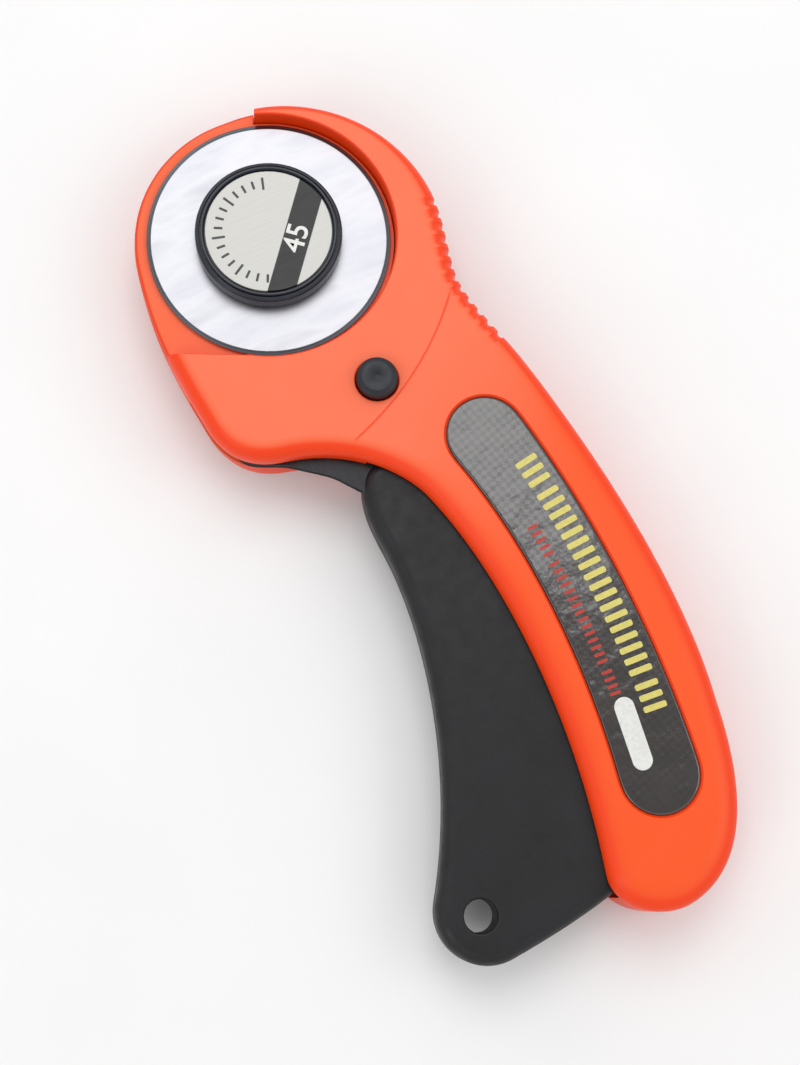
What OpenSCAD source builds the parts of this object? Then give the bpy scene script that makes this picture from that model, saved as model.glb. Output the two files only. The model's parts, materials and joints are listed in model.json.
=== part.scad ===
// Rotary cutter with a round 45 mm blade and a squeeze lever.
// The tool lies on its back: +Z points out of its front face, +Y towards the blade end.
// Flat outlines are drawn about the blade's centre and moved to the origin by at_home().

/* [Blade] */
// Blade diameter
blade_d = 45; // [44:0.5:46]
// Blade thickness
blade_t = 0.3; // [0.2:0.05:0.4]
// Bore of the blade, and of the bolt that carries it
bolt_d = 8; // [7:0.5:9]
// Gap between the blade's edge and the wall of its recess
recess_gap = 0.9; // [0.8:0.1:1.5]

/* [Body] */
// Height of the front face above the back face
body_h = 17; // [16.6:0.2:18]
// Height of the joint between the two shells
part_h = 11; // [10.6:0.1:11.4]
// Height of the back of the head, which is thinner than the handle
head_lift = 5.5; // [4.5:0.1:5.6]
// Thickness of the side walls
wall = 2.4; // [2:0.1:2.8]
// Thickness of the back wall of the handle
back_wall = 3.3; // [2.6:0.1:3.3]
// Thickness of the front wall of the handle
front_wall = 3.1; // [2.6:0.1:3.1]
// Width of the rounding along the front edges
round_w = 4; // [2:0.25:4.5]
// Angle between the long axis and the axis of the open side of the head
lean = 26; // [24:0.5:28]

/* [Lever] */
// Angle that the lever turns when it is squeezed
squeeze = 9; // [6:0.5:9]
// Distance from the pivot to the blade's centre
pivot_r = 35; // [34.5:0.25:35.5]
// Thickness of the steel lever plate
plate_t = 2; // [1.6:0.1:2]
// Height of the underside of the lever plate
plate_h = 10.2; // [10:0.1:10.2]
// Thickness of the moulded grip
grip_t = 9.6; // [8:0.2:9.6]
// Radius of the hole that the tool hangs from
hang_r = 2.9; // [2.4:0.1:3.4]

/* [Nut and lock] */
// Outer diameter of the blade nut
nut_d = 27; // [25:0.5:28]
// Height of the blade nut's top above the blade
nut_h = 4.2; // [4:0.1:4.6]
// Diameter of the lock button
button_d = 7.5; // [7:0.25:8.5]
// Travel of the lock button
lock_travel = 2.2; // [1.6:0.1:2.2]

/* [Hidden] */
$fn = 64;
eps = 0.01;
slip = 0.3;
home = [-5.702, 57.9];
pivot = pivot_r * [-sin(lean), -cos(lean)];
lock = [6, -33.6];
hang = [-18.3, -126.8];
plate_top = plate_h + plate_t;
room_low = plate_h - slip;
room_high = plate_top + slip;
guard_h = 13.2;
blade_h = 13.7;
blade_top = blade_h + blade_t;
bevel_w = 0.8;
nut_top = blade_top + nut_h;
disc_r = nut_d / 2 - 1.9;
recess_r = blade_d / 2 + recess_gap;
shank_r = bolt_d / 2 - 0.05;
thread_r = 2.95;
head_h = 2.6;
bolt_head_r = 6.5;
spacer_r = 6;
pin_r = 2;
pin_head_r = 3.5;
pin_head_t = 0.8;
stem_r = 2.4;
rear_r = 3.2;
button_top = body_h + lock_travel;
grip_low = 3.7;
grip_high = grip_low + grip_t;
step_u = -3.3;
step_v = -23.4;
slot_v = -31;
label_h = body_h - 0.7;
sweep_step = 1.5;
// Torsion spring of the lever
spring_r = 5.4;
spring_wire = 0.7;
spring_turns = 2;
spring_rise = 0.8;
well_low = room_low - 2.7;
spring_low = well_low + 0.5;
fixed_leg = 6;
moving_leg = 10;
// Post on the lever plate that the moving leg pushes
post_reach = 11;
post_angle = 28;
post_r = 1;
post_at = pivot + post_reach * [cos(post_angle), sin(post_angle)];
leg_angle = post_angle - acos((spring_r + spring_wire / 2 + post_r + 0.1) / post_reach);

// Hairpin spring that holds the lock button in either place
detent_wire = 0.35;
detent_leg = 6;
detent_z = room_low - 0.8;
detent_x = stem_r + 0.02;

// ---- curves ----

// n points of a Bezier curve with control points p, without its end point
function bezier(p, n) = [for (i = [0 : n - 1]) let (t = i / n, s = 1 - t)
    s * s * s * p[0] + 3 * s * s * t * p[1] + 3 * s * t * t * p[2] + t * t * t * p[3]];

// n points of an arc about c from angle a to angle b, without its end point
function arc(c, r, a, b, n) = [for (i = [0 : n - 1]) c + r * [cos(a + (b - a) * i / n),
    sin(a + (b - a) * i / n)]];

// Arc of radius r that rounds corner b between its neighbours a and c
function corner(a, b, c, r, n) = let (
    u = (a - b) / norm(a - b),
    v = (c - b) / norm(c - b),
    half = acos(u * v) / 2,
    centre = b + (u + v) / norm(u + v) * r / sin(half),
    p = b + u * r / tan(half) - centre,
    q = b + v * r / tan(half) - centre,
    start = atan2(p.y, p.x),
    turn = (atan2(q.y, q.x) - start + 540) % 360 - 180)
    [for (i = [0 : n]) centre + r * [cos(start + turn * i / n), sin(start + turn * i / n)]];

// Polygon whose corners [x, y, radius] are rounded
function rounded(c, n = 8) = let (k = len(c)) [for (i = [0 : k - 1])
    each corner([c[(i + k - 1) % k].x, c[(i + k - 1) % k].y], [c[i].x, c[i].y],
        [c[(i + 1) % k].x, c[(i + 1) % k].y], c[i][2], n)];

// Closed counterclockwise outline moved inwards by d
function inset(p, d) = let (n = len(p)) [for (i = [0 : n - 1]) let (
    t = p[(i + 1) % n] - p[(i + n - 1) % n]) p[i] + d * [-t.y, t.x] / norm(t)];

function turned(p, a) = [for (q = p) pivot + [(q - pivot).x * cos(a) - (q - pivot).y * sin(a),
    (q - pivot).x * sin(a) + (q - pivot).y * cos(a)]];

function smooth(t) = let (s = min(1, max(0, t))) s * s * (3 - 2 * s);

// ---- outlines, counterclockwise, about the blade's centre ----

// Low and high stretch of the thumb rest on the right edge, with points 2.6 mm apart
thumb_low = [[32.3, -40], [31, -34], [28.2, -27], [28.3, -21.5]];
thumb_high = [[28.3, -21.5], [28.9, -16], [31.4, -10], [31.3, -4]];
thumb_line = concat(bezier(thumb_low, 7), bezier(thumb_high, 7));
groove_r = 0.7;

// The left side from the top of the head down, then the right side from the bottom up,
// with as many points on each side
body_line = concat(
    arc([0, 0], 25, 84, 172, 14),
    bezier([[-24.8, 3.5], [-26.4, -5], [-27.1, -12], [-25.4, -27]], 6),
    bezier([[-25.4, -27], [-25.2, -34], [-21.6, -38.4], [-14.4, -39.7]], 8),
    bezier([[-14.4, -39.7], [-8.5, -41], [0, -45], [4.9, -54.7]], 8),
    bezier([[4.9, -54.7], [10.5, -70], [12.8, -100], [4, -131]], 16),
    bezier([[4, -131], [3.6, -135.4], [8, -140.2], [14.5, -140.8]], 8),
    bezier([[14.5, -140.8], [29, -140.2], [33.9, -124], [35.8, -111.3]], 8),
    bezier([[35.8, -111.3], [40, -90], [36.8, -62], [32.3, -40]], 24),
    bezier(thumb_low, 8),
    bezier(thumb_high, 6),
    bezier([[31.3, -4], [31, 12.6], [16.6, 24.9], [2.6, 24.9]], 14));

// The left side of the grip from the top down, then its hidden right side from the bottom up
grip_line = concat(
    bezier([[2, -46], [-2, -46], [-3.7, -47.5], [-4.7, -50.5]], 4),
    bezier([[-4.7, -50.5], [-5.9, -54], [-5.6, -57], [-5.6, -60]], 4),
    bezier([[-5.6, -60], [-4.4, -76], [-10.1, -101], [-23.8, -120.7]], 16),
    arc([-16.8, -126.7], 9.2, 140, 270, 12),
    bezier([[-16.8, -135.9], [-8, -135.4], [-2, -134.7], [3, -133.7]], 4),
    bezier([[3, -133.7], [6.5, -133.1], [8.4, -132], [8.7, -128.5]], 12),
    bezier([[8.7, -128.5], [15.5, -104], [16.5, -76], [10.5, -55]], 20),
    bezier([[10.5, -55], [8.5, -48.5], [6, -46], [2, -46]], 8));

plate_line = rounded([[-9.5, 3, 8], [4, 11, 9], [12, -4, 9], [14.5, -37, 7], [9, -52, 6],
    [11.5, -92, 4], [1.5, -92, 4], [-2, -53.2, 8], [-8, -45.2, 12], [-14.8, -39.9, 12],
    [-21.6, -36.6, 5], [-24.4, -28, 4]], 8);

label_line = concat(
    arc([19.4, -51], 7.3, 10, 190, 14),
    bezier([[12.2, -52.3], [18.2, -74], [16.5, -100], [13, -117.2]], 16),
    arc([20.2, -118.5], 7.3, 170, 350, 14),
    bezier([[27.4, -119.8], [31, -96], [30.6, -72], [26.6, -49.7]], 16));

// Centres of the blade bolt, the lock pin and the spring post, as the lever turns
function swing(p, a) = turned([p], a)[0];

screws = [[27.4, -1, 6.3], [24, -27, 6.3], [30.3, -58, 0.8], [31.4, -98, 0.8], [19, -136.2, 0.8]];

// ---- helpers ----

module at_home() translate([home.x, home.y, 0]) children();

// Turns drawings made along the open side of the head into the body's frame
module leaning() rotate([0, 0, -lean]) children();

// Closed solid through rings of equal length, lowest ring first; each end is a strip of
// triangles between the ring's first half and its second half
module skin(rings) {
    n = len(rings[0]);
    m = len(rings);
    top = (m - 1) * n;
    points = [for (r = rings) each r];
    sides = [for (j = [0 : m - 2], i = [0 : n - 1]) let (a = j * n + i, b = j * n + (i + 1) % n)
        each [[a, a + n, b + n], [a, b + n, b]]];
    bottom_end = [for (i = [0 : n / 2 - 2]) each [[i, i + 1, n - 2 - i], [i, n - 2 - i, n - 1 - i]]];
    top_end = [for (f = bottom_end) [top + f[2], top + f[1], top + f[0]]];
    polyhedron(points = points, faces = concat(sides, bottom_end, top_end), convexity = 10);
}

function ring(p, d, z) = [for (q = inset(p, d)) [q.x, q.y, z]];

// Rounding of width w and height h along the edge of a ring, at a share a of a quarter turn
function edge_in(w, a) = w * (1 - cos(a));

module disc(r, low, high) translate([0, 0, low]) cylinder(r = r, h = high - low);

module disc_at(p, r, low, high) translate([p.x, p.y, 0]) disc(r, low, high);

module plate(points, low, high) translate([0, 0, low]) linear_extrude(high - low)
    polygon(points);

// Space swept by an outline of the lever as it turns
module swept(points, gap, low, high) translate([0, 0, low]) linear_extrude(high - low)
    for (a = [0 : sweep_step : squeeze]) offset(delta = gap) polygon(turned(points, a));

// The open side of the head, drawn along the lean, moved in by gap
module open_side(gap) leaning() translate([-70, step_v + gap])
    square([70 + step_u - gap, 70]);

module lever_room() {
    swept(plate_line, 0.7, room_low, room_high);
    swept(grip_line, 0.7, back_wall, body_h - front_wall);
    translate([0, 0, back_wall]) linear_extrude(body_h - front_wall - back_wall) intersection() {
        polygon(inset(body_line, wall));
        translate([-40, -150]) square([90, 96]);
    }
    // slot between the shells round the lower corner of the head
    translate([0, 0, room_low]) linear_extrude(room_high - room_low) leaning()
        translate([-40, slot_v - 30]) square([54, 30]);
}

module screw_holes(r, low, high) for (s = screws) disc_at(s, r, low, high);

// ---- moulded shells ----

module front_shell() color("#ff6a3c") at_home() {
    depth = front_wall - 0.5;
    bend = [0, 30, 60, 90];
    difference() {
        skin(concat([ring(body_line, 0, part_h)],
            [for (a = bend) ring(body_line, edge_in(round_w, a), body_h - depth + depth * sin(a))]));
        disc(recess_r, part_h - 1, body_h + 1);
        translate([0, 0, part_h - 1]) linear_extrude(body_h) open_side(0);
        lever_room();
        plate(label_line, label_h, body_h + 1);
        disc_at(lock, button_d / 2 + 0.15, room_high - 1, body_h + 1);
        disc_at(pivot, pin_r + 0.05, part_h - 1, body_h - 1.6);
        disc_at(pivot, 4, part_h - 1, room_high + 0.9);
        screw_holes(1.25, part_h - 1, body_h - 2);
        thumb_grooves();
    }
    difference() {
        for (s = screws) if (s.y < -40) disc_at(s, 3, part_h, body_h - front_wall + 0.5);
        screw_holes(1.25, part_h - 1, body_h - 2);
    }
}

// Grooves across the thumb rest on the right edge of the head
module thumb_grooves() for (i = [2 : len(thumb_line) - 1])
    disc_at(thumb_line[i] + [groove_r / 2, 0], groove_r, part_h - 1, body_h + 1);

// Space behind the head, which is thinner than the handle, with a smooth ramp between them
module behind_head() {
    foot = -46;
    ramp = 14;
    translate([-60, 0, 0]) rotate([90, 0, 90]) linear_extrude(120) polygon(concat(
        [for (i = [0 : 12]) [foot + ramp * i / 12, head_lift * smooth(i / 12)]],
        [[40, head_lift], [40, -1], [foot, -1]]));
}

module back_shell() color("#f4572a") at_home() {
    depth = 2.6;
    bend = [90, 60, 30, 0];
    difference() {
        union() {
            skin(concat(
                [for (a = bend) ring(body_line, edge_in(3.5, a), depth * (1 - sin(a)))],
                [ring(body_line, 0, part_h)]));
            guard();
        }
        behind_head();
        lever_room();
        // opening in the guard that the spacer moves in
        for (a = [0 : sweep_step : squeeze])
            disc_at(swing([0, 0], a), spacer_r + 0.7, room_high - 1, guard_h + 1);
        // window for the head of the blade bolt as the lever turns
        for (a = [0 : sweep_step : squeeze])
            disc_at(swing([0, 0], a), bolt_head_r + 0.7, head_lift - 1, room_high);
        // well of the return spring, with the notch of its fixed leg
        difference() {
            disc_at(pivot, spring_r + 1.2, well_low, room_high);
            disc_at(pivot, spring_r - 1.2, well_low - 1, room_low);
        }
        translate([pivot.x + spring_r - 0.8, pivot.y - fixed_leg - 0.5, well_low])
            cube([2, fixed_leg + 0.5, room_high - well_low]);
        for (a = [0 : sweep_step : squeeze])
            disc_at(swing(post_at, a), post_r + 1.2, room_low - 2.2, room_high);
        leg_room();
        disc_at(pivot, pin_r + 0.05, 4, part_h);
        disc_at(pivot, pin_head_r + 0.2, 4, head_lift + pin_head_t + 0.25);
        disc_at(lock, stem_r + 0.1, 4, part_h + 1);
        disc_at(lock, rear_r + 0.15, 4, head_lift + 2.2);
        detent_room();
        screw_holes(1.35, -1, part_h + 1);
        for (s = screws) disc_at(s, 2.55, -1, s[2] + 1.7);
    }
    difference() {
        for (s = screws) if (s.y < -40) disc_at(s, 3, back_wall - 0.5, part_h);
        screw_holes(1.35, -1, part_h + 1);
    }
}

// Guard behind the blade: the disc under the blade and the rim along the open side
module guard() translate([0, 0, part_h - 1]) linear_extrude(guard_h - part_h + 1) intersection() {
    polygon(inset(body_line, 0.2));
    union() {
        circle(recess_r - 0.25);
        open_side(0.25);
    }
}

// Fan that the moving leg of the return spring sweeps
module leg_room() for (a = [0 : 3 : squeeze + 3])
    translate([pivot.x, pivot.y, room_low - 1.8]) rotate([0, 0, leg_angle + a])
        translate([spring_r - 1, -1, 0]) cube([2, moving_leg + 2, 3]);

// Room of the hairpin spring, open at the joint between the shells
module detent_room() translate([lock.x - 3.6, lock.y - detent_leg - 0.5, detent_z - 0.4])
    cube([7.2, 2 * detent_leg + 3.8, 4]);

module label_plate() color("#2a2420") at_home()
    plate(inset(label_line, 0.15), label_h, body_h - 0.05);

// ---- lever ----

module lever_plate() color("#2c2d30") at_home() {
    difference() {
        plate(plate_line, plate_h, plate_top);
        double_flat(shank_r);
        disc_at(pivot, 3.5, plate_h - 1, plate_top + 1);
        for (a = [0 : -0.75 : -squeeze])
            disc_at(swing(lock, a), stem_r + 0.25, plate_h - 1, plate_top + 1);
    }
    disc_at(post_at, post_r, plate_h - 1.8, plate_h + eps);
}

// Round bar with two flats, which keeps the bolt from turning in the plate
module double_flat(r) intersection() {
    disc(r, plate_h - 1, plate_top + 1);
    translate([-r - 1, -r * 0.8, plate_h - 1]) cube([2 * r + 2, 1.6 * r, plate_t + 2]);
}

module lever_grip() color("#26262a") at_home() {
    soft = 2.4;
    low_bend = [90, 60, 30, 0];
    high_bend = [0, 30, 60, 90];
    difference() {
        skin(concat(
            [for (a = low_bend)
                ring(grip_line, edge_in(soft, a), grip_low + soft * (1 - sin(a)))],
            [for (a = high_bend)
                ring(grip_line, edge_in(soft, a), grip_high - soft * (1 - sin(a)))]));
        plate(plate_line, plate_h, plate_top);
        disc_at(hang, hang_r, 0, body_h);
    }
}

module pivot_pin() color("silver") at_home() translate([pivot.x, pivot.y, 0]) {
    disc(pin_head_r, head_lift + 0.2, head_lift + 0.2 + pin_head_t);
    disc(pin_r, head_lift + pin_head_t, body_h - 1.9);
}

module pivot_bush() color("#b88a3a") at_home() translate([pivot.x, pivot.y, 0]) difference() {
    disc(3.5, plate_h, plate_top);
    disc(pin_r + 0.05, plate_h - 1, plate_top + 1);
}

module pivot_washers() color("silver") at_home() translate([pivot.x, pivot.y, 0]) {
    thin_ring(pin_r + 0.1, 3.3, room_low + 0.02, plate_h - 0.02);
    thin_ring(pin_r + 0.1, 3.3, plate_top + 0.02, room_high - 0.02);
}

module thin_ring(inner, outer, low, high) difference() {
    disc(outer, low, high);
    disc(inner, low - 1, high + 1);
}

// Open retaining ring on the front end of the pivot pin
module pivot_clip() color("#4a4c50") at_home() translate([pivot.x, pivot.y, 0]) difference() {
    disc(3.6, room_high + 0.05, room_high + 0.75);
    disc(pin_r, room_high - 1, room_high + 2);
    translate([-1.2, -5, room_high - 1]) cube([2.4, 5, 3]);
}

// Torsion spring: two turns round the pivot boss, with a fixed leg and a moving leg

function coil_point(a) = [pivot.x + spring_r * cos(a), pivot.y + spring_r * sin(a)];

function coil_way(a) = [-sin(a), cos(a)];

spring_path = let (
    a0 = 0,
    a1 = 360 * spring_turns + leg_angle,
    steps = round(a1 / 20))
    concat(
        [for (s = [fixed_leg, fixed_leg / 2])
            concat(coil_point(a0) - s * coil_way(a0), spring_low)],
        [for (i = [0 : steps]) let (a = a0 + (a1 - a0) * i / steps)
            concat(coil_point(a), spring_low + spring_rise * (a - a0) / 360)],
        [for (s = [moving_leg / 2, moving_leg])
            concat(coil_point(a1) + s * coil_way(a1), spring_low + spring_rise * (a1 - a0) / 360)]);

// Tube of eight sides along a path that stays nearly level
module wire(path, r) {
    n = len(path);
    sides = 8;
    rings = [for (i = [0 : n - 1]) let (
        way = path[min(i + 1, n - 1)] - path[max(i - 1, 0)],
        side = [way.y, -way.x, 0] / norm([way.x, way.y]))
        [for (k = [0 : sides - 1]) path[i] + r * (cos(k * 45) * side + sin(k * 45) * [0, 0, 1])]];
    polyhedron(points = [for (g = rings) each g], faces = concat(
        [[for (k = [0 : sides - 1]) k]],
        [for (i = [0 : n - 2], k = [0 : sides - 1]) let (
            a = i * sides + k,
            b = i * sides + (k + 1) % sides)
            each [[a, a + sides, b + sides], [a, b + sides, b]]],
        [[for (k = [sides - 1 : -1 : 0]) (n - 1) * sides + k]]), convexity = 10);
}

module return_spring() color("silver") at_home() wire(spring_path, spring_wire / 2);

// ---- blade and its fixing ----

module blade_bolt() color("silver") at_home() {
    disc(bolt_head_r, plate_h - head_h, plate_h);
    double_flat(shank_r);
    disc(shank_r, plate_top, blade_top + 0.15);
    disc(thread_r, blade_top, nut_top - 1.1);
}

module blade_spacer() color("silver") at_home()
    thin_ring(shank_r + 0.02, spacer_r, plate_top, blade_h - 0.04);

module blade() color("gainsboro") at_home() difference() {
    union() {
        disc(blade_d / 2 - bevel_w, blade_h, blade_top);
        bevel();
    }
    disc(bolt_d / 2, blade_h - 1, blade_top + 1);
}

// Ground edge, with the same slope on both faces
module bevel() rotate_extrude() translate([blade_d / 2, blade_h + blade_t / 2]) polygon([
    [-bevel_w - 1, -blade_t / 2], [-bevel_w, -blade_t / 2], [0, -0.02],
    [0, 0.02], [-bevel_w, blade_t / 2], [-bevel_w - 1, blade_t / 2]]);

module wave_washer() color("silver") at_home()
    thin_ring(thread_r + 1.1, 8.5, blade_top + 0.04, blade_top + 0.5);

module nut_knob() color("#1d1f24") at_home() {
    rim = nut_d / 2;
    difference() {
        rotate_extrude() polygon(concat(
            [[5, blade_top + 0.6], [rim - 3, blade_top + 0.6], [rim - 2.6, blade_top + 0.35],
            [rim - 0.6, blade_top + 0.35], [rim, blade_top + 0.9]],
            arc([rim - 1, nut_top - 1], 1, 0, 90, 6),
            [[rim - 1.5, nut_top], [rim - 1.8, nut_top - 0.5],
            [disc_r + 0.2, nut_top - 0.8], [5, nut_top - 0.8]]));
        disc(5, blade_top, nut_top + 1);
    }
}

module nut_insert() color("#b88a3a") at_home() difference() {
    disc(5, blade_top + 0.6, nut_top - 0.8);
    disc(thread_r + 0.05, blade_top, nut_top);
}

module nut_disc() color("#dad8d2") at_home() disc(disc_r, nut_top - 0.8, nut_top - 0.3);

// ---- lock ----

module lock_button() color("#26262a") at_home() translate([lock.x, lock.y, 0]) difference() {
    union() {
        rotate_extrude() polygon(concat([[0, button_top - 3.4], [button_d / 2, button_top - 3.4]],
            arc([button_d / 2 - 0.6, button_top - 0.6], 0.6, 0, 90, 5), [[0, button_top]]));
        disc(stem_r, head_lift + 0.3, button_top - 3.4);
    }
    // grooves that the detent spring snaps into, one for each place of the button
    for (z = [detent_z, detent_z + lock_travel]) translate([0, 0, z])
        rotate_extrude() translate([stem_r, 0]) circle(r = detent_wire + 0.1);
}

module lock_rear_cap() color("#26262a") at_home() translate([lock.x, lock.y, 0])
    thin_ring(stem_r, rear_r, head_lift + 0.3, head_lift + 0.3 + 1.6);

// Hairpin spring that grips the stem from both sides
module lock_detent_spring() color("silver") at_home()
    translate([lock.x, lock.y, detent_z]) {
        for (s = [-1, 1]) translate([s * detent_x, -detent_leg, 0]) rotate([-90, 0, 0])
            cylinder(r = detent_wire, h = 2 * detent_leg);
        translate([0, detent_leg, 0]) rotate_extrude(angle = 180)
            translate([detent_x, 0]) circle(r = detent_wire);
    }

module shell_screws() color("#55575c") at_home() for (s = screws) {
    disc_at(s, 2.4, s[2], s[2] + 1.65);
    disc_at(s, 1.2, s[2] + 1.6, body_h - 2.4);
}

front_shell();
back_shell();
label_plate();
lever_plate();
lever_grip();
pivot_pin();
pivot_bush();
pivot_washers();
pivot_clip();
return_spring();
blade_bolt();
blade_spacer();
blade();
wave_washer();
nut_knob();
nut_insert();
nut_disc();
lock_button();
lock_rear_cap();
lock_detent_spring();
shell_screws();
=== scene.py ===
"""Rotary cutter with a 45 mm blade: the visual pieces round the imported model.

Shapes are drawn in millimetres about the blade's centre, with the model's heights, and are
moved to their place in metres by piece().
"""
import json
from math import acos, atan2, cos, pi, radians, sin, tan

import bmesh
import bpy
from mathutils import Matrix, Vector


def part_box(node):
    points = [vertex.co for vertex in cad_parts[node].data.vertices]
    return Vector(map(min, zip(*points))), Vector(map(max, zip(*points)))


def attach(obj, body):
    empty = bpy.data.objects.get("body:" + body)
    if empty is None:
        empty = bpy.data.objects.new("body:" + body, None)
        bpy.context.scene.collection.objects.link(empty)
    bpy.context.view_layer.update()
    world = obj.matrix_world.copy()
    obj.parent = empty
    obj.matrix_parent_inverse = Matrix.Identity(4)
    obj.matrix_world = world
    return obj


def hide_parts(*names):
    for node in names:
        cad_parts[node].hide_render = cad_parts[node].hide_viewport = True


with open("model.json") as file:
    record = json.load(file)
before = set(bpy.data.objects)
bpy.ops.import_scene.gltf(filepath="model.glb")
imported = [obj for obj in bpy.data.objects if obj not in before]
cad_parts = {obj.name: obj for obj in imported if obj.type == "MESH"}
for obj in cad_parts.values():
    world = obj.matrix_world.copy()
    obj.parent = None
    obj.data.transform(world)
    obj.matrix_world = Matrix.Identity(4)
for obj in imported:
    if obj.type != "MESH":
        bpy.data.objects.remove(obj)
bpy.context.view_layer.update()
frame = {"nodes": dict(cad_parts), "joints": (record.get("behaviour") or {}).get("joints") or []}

MM = 0.001


def level(node, end):
    """Height of a node's lowest (0) or highest (1) point, in millimetres."""
    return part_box(node)[end].z / MM


def middle(node):
    """Centre of a node's box, in metres."""
    low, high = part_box(node)
    return (low + high) / 2


HOME = middle("blade")
HOME.z = 0


def about_home(node):
    """Centre of a node, in millimetres about the blade's centre."""
    return (middle(node) - HOME).to_2d() / MM


PIVOT = about_home("pivot_pin")
LOCK = about_home("lock_button")
HANG = Vector((-18.3, -126.8))
LEAN = radians(26)  # of the head's open side, from the tool's long axis
SQUEEZE = frame["joints"][0]["range_deg"][1]
SWEEP = [SQUEEZE * i / 6 for i in range(7)]
FRONT = level("front_shell", 1)
JOINT = level("front_shell", 0)
HEAD_BACK = level("pivot_pin", 0) - 0.2
RAMP_START, RAMP_LENGTH = -46, 14  # where the back rises from the handle's height to the head's
GUARD = level("back_shell", 1)
BLADE_LOW = level("blade", 0)
BLADE_TOP = level("blade", 1)
NUT_LOW = level("nut_knob", 0)
NUT_TOP = level("nut_knob", 1)
BOLT_HEAD, PLATE_THICK = 2.6, 2
PLATE_LOW = level("blade_bolt", 0) + BOLT_HEAD
PLATE_TOP = PLATE_LOW + PLATE_THICK
BUTTON_TOP = level("lock_button", 1)
GRIP_ROOM = (3.3, 13.9)  # heights between which the grip swings inside the handle
BLADE_R = 22.5
BEVEL = 0.8
RECESS_R = 23.4
STEP = (-3.3, -23.4)  # corner of the head's open side
HUB_R = 3.9
NUT_R = 13.5
DISC_R = 11.6
STEM_R, CAP_R = 2.4, 3.75
PIN_R, PIN_HEAD_R = 2, 3.5
EDGE_DEPTH = 3.2
SEAM = 0.15
INK_SINK, INK_HIGH = 0.03, 0.06


# ---- curves, in millimetres ----

def bezier(p, n):
    """n points of a Bezier curve, without its end point."""
    p = [Vector(q) for q in p]
    out = []
    for i in range(n):
        t = i / n
        s = 1 - t
        out.append(s * s * s * p[0] + 3 * s * s * t * p[1] + 3 * s * t * t * p[2] + t * t * t * p[3])
    return out


def arc(c, r, a, b, n):
    """n points of an arc from angle a to angle b, in degrees, without its end point."""
    return [Vector((c[0] + r * cos(radians(a + (b - a) * i / n)),
                    c[1] + r * sin(radians(a + (b - a) * i / n)))) for i in range(n)]


def circle(c, r, n=96):
    return arc(c, r, 0, 360, n)


def rounded(corners, n=8):
    """Polygon whose corners (x, y, radius) are rounded."""
    out = []
    k = len(corners)
    for i, (x, y, r) in enumerate(corners):
        b = Vector((x, y))
        u = (Vector(corners[i - 1][:2]) - b).normalized()
        v = (Vector(corners[(i + 1) % k][:2]) - b).normalized()
        half = acos(max(-1, min(1, u.dot(v)))) / 2
        centre = b + (u + v).normalized() * r / sin(half)
        p = b + u * r / tan(half) - centre
        q = b + v * r / tan(half) - centre
        start = atan2(p.y, p.x)
        turn = (atan2(q.y, q.x) - start + 3 * pi) % (2 * pi) - pi
        out += [centre + r * Vector((cos(start + turn * j / n), sin(start + turn * j / n)))
                for j in range(n + 1)]
    return out


def even(points, pitch):
    """Closed line with evenly spaced points."""
    n = len(points)
    steps = [(points[(i + 1) % n] - points[i]).length for i in range(n)]
    total = sum(steps)
    count = max(8, round(total / pitch))
    out = []
    i, gone = 0, 0.0
    for k in range(count):
        want = total * k / count
        while gone + steps[i] < want:
            gone += steps[i]
            i += 1
        out.append(points[i].lerp(points[(i + 1) % n], (want - gone) / max(steps[i], 1e-9)))
    return out


def eased(points, passes):
    """Closed line with its small kinks smoothed out."""
    n = len(points)
    for _ in range(passes):
        points = [(points[i - 1] + 2 * points[i] + points[(i + 1) % n]) / 4 for i in range(n)]
    return points


def inset(points, d):
    """Closed counterclockwise line moved inwards by d, or by d(point)."""
    n = len(points)
    out = []
    for i, p in enumerate(points):
        t = (points[(i + 1) % n] - points[i - 1]).normalized()
        gap = d(p) if callable(d) else d
        out.append(p + gap * Vector((-t.y, t.x)))
    return out


def turned(points, degrees, centre=PIVOT):
    a = radians(degrees)
    return [centre + Vector(((q - centre).x * cos(a) - (q - centre).y * sin(a),
                             (q - centre).x * sin(a) + (q - centre).y * cos(a))) for q in points]


def smooth(t):
    t = min(1, max(0, t))
    return t * t * (3 - 2 * t)


# outlines run counterclockwise about the blade's centre; the thumb rest is two shallow hollows
THUMB_LOW = [(32.3, -40), (31, -34), (28.2, -27), (28.3, -21.5)]
THUMB_HIGH = [(28.3, -21.5), (28.9, -16), (31.4, -10), (31.3, -4)]
THUMB = bezier(THUMB_LOW, 7) + bezier(THUMB_HIGH, 7)
BODY = eased(even(
    arc((0, 0), 25, 84, 172, 60)
    + bezier([(-24.8, 3.5), (-26.4, -5), (-27.1, -12), (-25.4, -27)], 24)
    + bezier([(-25.4, -27), (-25.2, -34), (-21.6, -38.4), (-14.4, -39.7)], 24)
    + bezier([(-14.4, -39.7), (-8.5, -41), (0, -45), (4.9, -54.7)], 24)
    + bezier([(4.9, -54.7), (10.5, -70), (12.8, -100), (4, -131)], 60)
    + bezier([(4, -131), (3.6, -135.4), (8, -140.2), (14.5, -140.8)], 24)
    + bezier([(14.5, -140.8), (29, -140.2), (33.9, -124), (35.8, -111.3)], 40)
    + bezier([(35.8, -111.3), (40, -90), (36.8, -62), (32.3, -40)], 60)
    + bezier(THUMB_LOW, 24)
    + bezier(THUMB_HIGH, 24)
    + bezier([(31.3, -4), (31, 12.6), (16.6, 24.9), (2.6, 24.9)], 40), 0.8), 3)
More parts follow.
